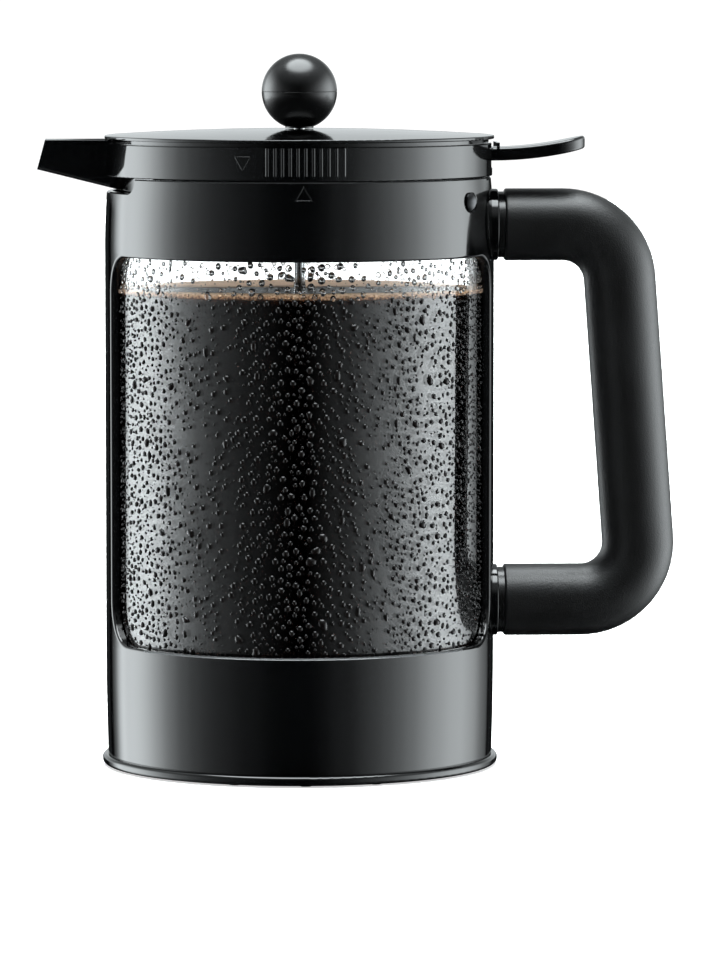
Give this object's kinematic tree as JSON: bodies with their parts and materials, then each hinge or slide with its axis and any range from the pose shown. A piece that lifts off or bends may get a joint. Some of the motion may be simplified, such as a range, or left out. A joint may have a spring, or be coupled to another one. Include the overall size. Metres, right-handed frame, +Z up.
{
  "type": "cold brew coffee maker",
  "caption": "Tall cylindrical cold brew coffee maker: clear beaker in a black windowed frame with a tube handle, twist-on lid with beak spout and thumb lever, and a ball-knob plunger",
  "frame": {"origin": "on the pot's vertical axis, at the surface it stands on", "axes": "+Z up, -X towards the spout, +X towards the handle, -Y towards the front window that faces the camera"},
  "size_m": [0.2067, 0.1284, 0.2307],
  "materials": {
    "black_gloss": "moulded gloss black",
    "black_satin": "satin black",
    "clear_wall": "clear",
    "grip_soft": "fine matte black",
    "cushion_rubber": "matte dark grey",
    "seal_rubber": "matte black",
    "plated_steel": "polished stainless",
    "sheet_steel": "brushed stainless",
    "screw_steel": "plain stainless",
    "insert_brass": "turned brass"
  },
  "bodies": {
    "jug": {"frame": "black_gloss", "base_cover": "black_satin", "foot_ring": "cushion_rubber", "base_screws": "screw_steel", "beaker_cushion": "cushion_rubber", "beaker": "clear_wall", "handle_core": "black_gloss", "handle_grip": "grip_soft", "upper_collar": "black_satin", "lower_collar": "black_satin", "handle_screws": "screw_steel", "side_studs": "plated_steel"},
    "seal": {"lid_seal": "seal_rubber"},
    "lid": {"lid_body": "black_gloss", "lid_cover": "black_gloss", "lid_screws": "screw_steel", "rod_bush": "black_satin", "lever_pin": "plated_steel", "lever_spring": "plated_steel"},
    "lever": {"pour_lever": "black_gloss", "valve_plug": "seal_rubber"},
    "plunger": {"knob_base": "black_satin", "knob_cap": "black_satin", "knob_insert": "insert_brass", "plunger_rod": "plated_steel", "filter_nut": "plated_steel", "cross_plate": "sheet_steel", "filter_screen": "sheet_steel", "filter_coil": "plated_steel", "top_plate": "sheet_steel", "filter_hub": "plated_steel"}
  },
  "joints": [
    {"name": "lid_lift", "type": "slide", "parent": "jug", "child": "seal", "axis": [0, 0, 1], "range_m": [0, 0.16]},
    {"name": "lid_turn", "type": "hinge", "parent": "seal", "child": "lid", "pos_m": [0, 0, 0.19], "axis": [0, 0, 1], "range_deg": [0, 19]},
    {"name": "plunger_slide", "type": "slide", "parent": "lid", "child": "plunger", "axis": [0, 0, 1], "range_m": [0, 0.12]},
    {"name": "lever_press", "type": "hinge", "parent": "lid", "child": "lever", "pos_m": [0.024, 0, 0.1973], "axis": [0, 1, 0], "range_deg": [0, 2.5], "stiffness_Nm_per_rad": 0.5, "springref_deg": -5.73, "deforming": ["lever_spring"]}
  ]
}
